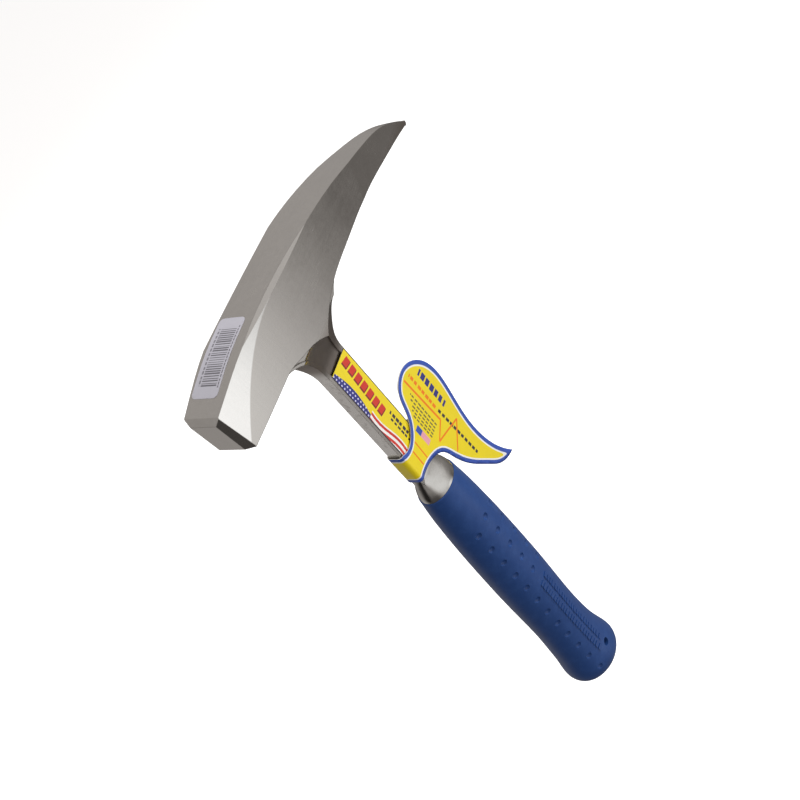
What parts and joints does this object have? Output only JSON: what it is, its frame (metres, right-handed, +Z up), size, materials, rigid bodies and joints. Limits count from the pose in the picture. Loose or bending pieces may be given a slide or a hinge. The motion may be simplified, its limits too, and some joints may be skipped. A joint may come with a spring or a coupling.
{
  "type": "rock hammer",
  "caption": "One-piece steel rock hammer with a square striking face, a long pointed pick, a dimpled moulded grip and retail labels with a hang tag looped round the neck.",
  "frame": {"origin": "centre of the flat butt end of the grip, on the handle's axis", "axes": "+Z up the handle to the head, +X towards the pick tip, -X towards the striking face, Y across the hammer's thickness"},
  "size_m": [0.1836, 0.0282, 0.3301],
  "materials": {
    "forged_steel": "satin ground and polished, brighter on the poll facet and the bolster",
    "blue_grip": "soft moulded vinyl with a fine skin texture and a low sheen",
    "barcode_paper": "matt label paper with plain bars",
    "neck_label_foil": "glossy printed label, yellow with plain coloured shapes",
    "tag_card": "coated card, yellow with a blue border"
  },
  "bodies": {
    "hammer": {"forged_steel_body": "forged_steel", "grip_sleeve": "blue_grip", "barcode_label": "barcode_paper", "neck_label": "neck_label_foil"},
    "tag": {"hang_tag": "tag_card"}
  },
  "joints": [
    {"name": "tag_slide", "type": "slide", "parent": "hammer", "child": "tag", "axis": [0, 0, 1], "range_m": [-0.001, 0.045]}
  ]
}
